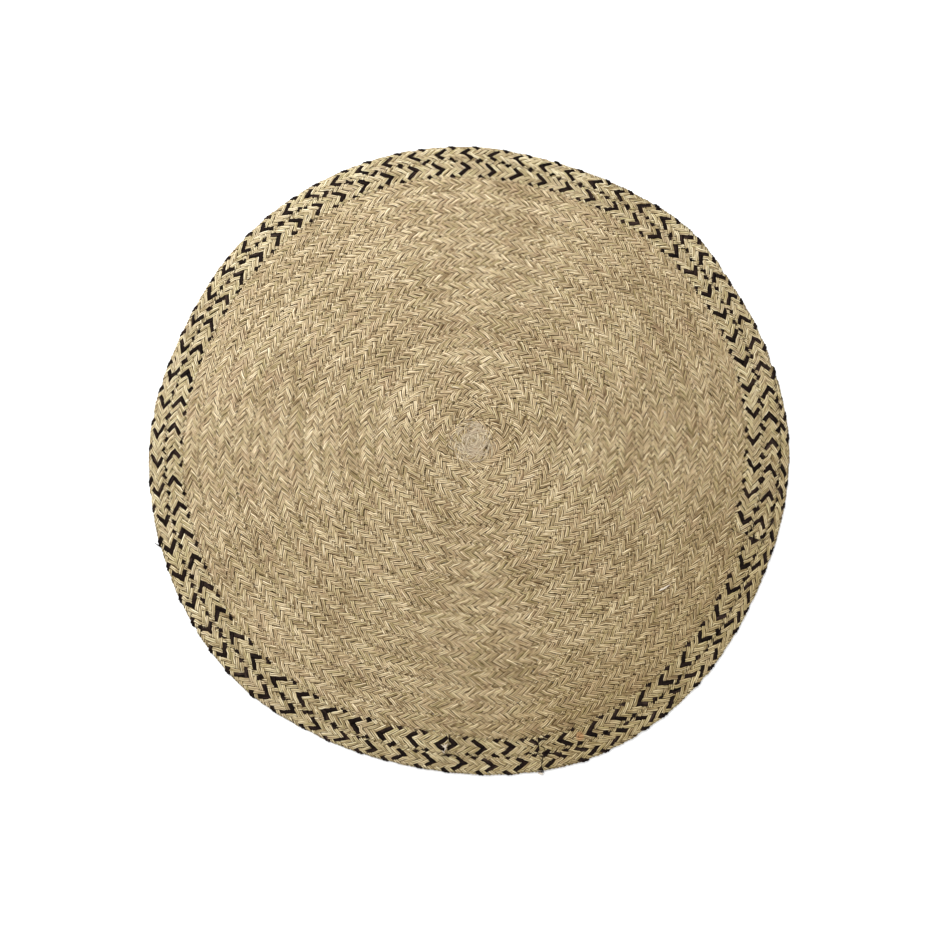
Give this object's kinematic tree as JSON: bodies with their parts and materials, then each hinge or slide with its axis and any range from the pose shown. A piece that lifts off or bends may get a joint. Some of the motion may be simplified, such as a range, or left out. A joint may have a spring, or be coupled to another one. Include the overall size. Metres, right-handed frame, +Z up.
{
  "type": "round plaited natural fibre rug",
  "caption": "Flat round rug of plaited natural fibre, coiled from the middle and sewn edge to edge, with a two-round border of dark chevrons.",
  "frame": {"origin": "centre of the rug's outline, on its flat underside", "axes": "+Z up through the rug's thickness, +Y away from the viewer, +X to the viewer's right"},
  "size_m": [1.0006, 0.9992, 0.006],
  "materials": {
    "field_fibre": "dull tan plaited stems",
    "border_fibre": "dull pale straw plaited stems",
    "dark_fibre": "stems dyed blackish brown, dull",
    "sewing_thread": "thin dull thread"
  },
  "bodies": {
    "root": {"field_plait": "field_fibre", "inner_border_plait": "border_fibre", "inner_border_patch": "border_fibre", "inner_border_closing": "border_fibre", "outer_border_plait": "border_fibre", "outer_border_closing": "border_fibre"}
  },
  "joints": []
}
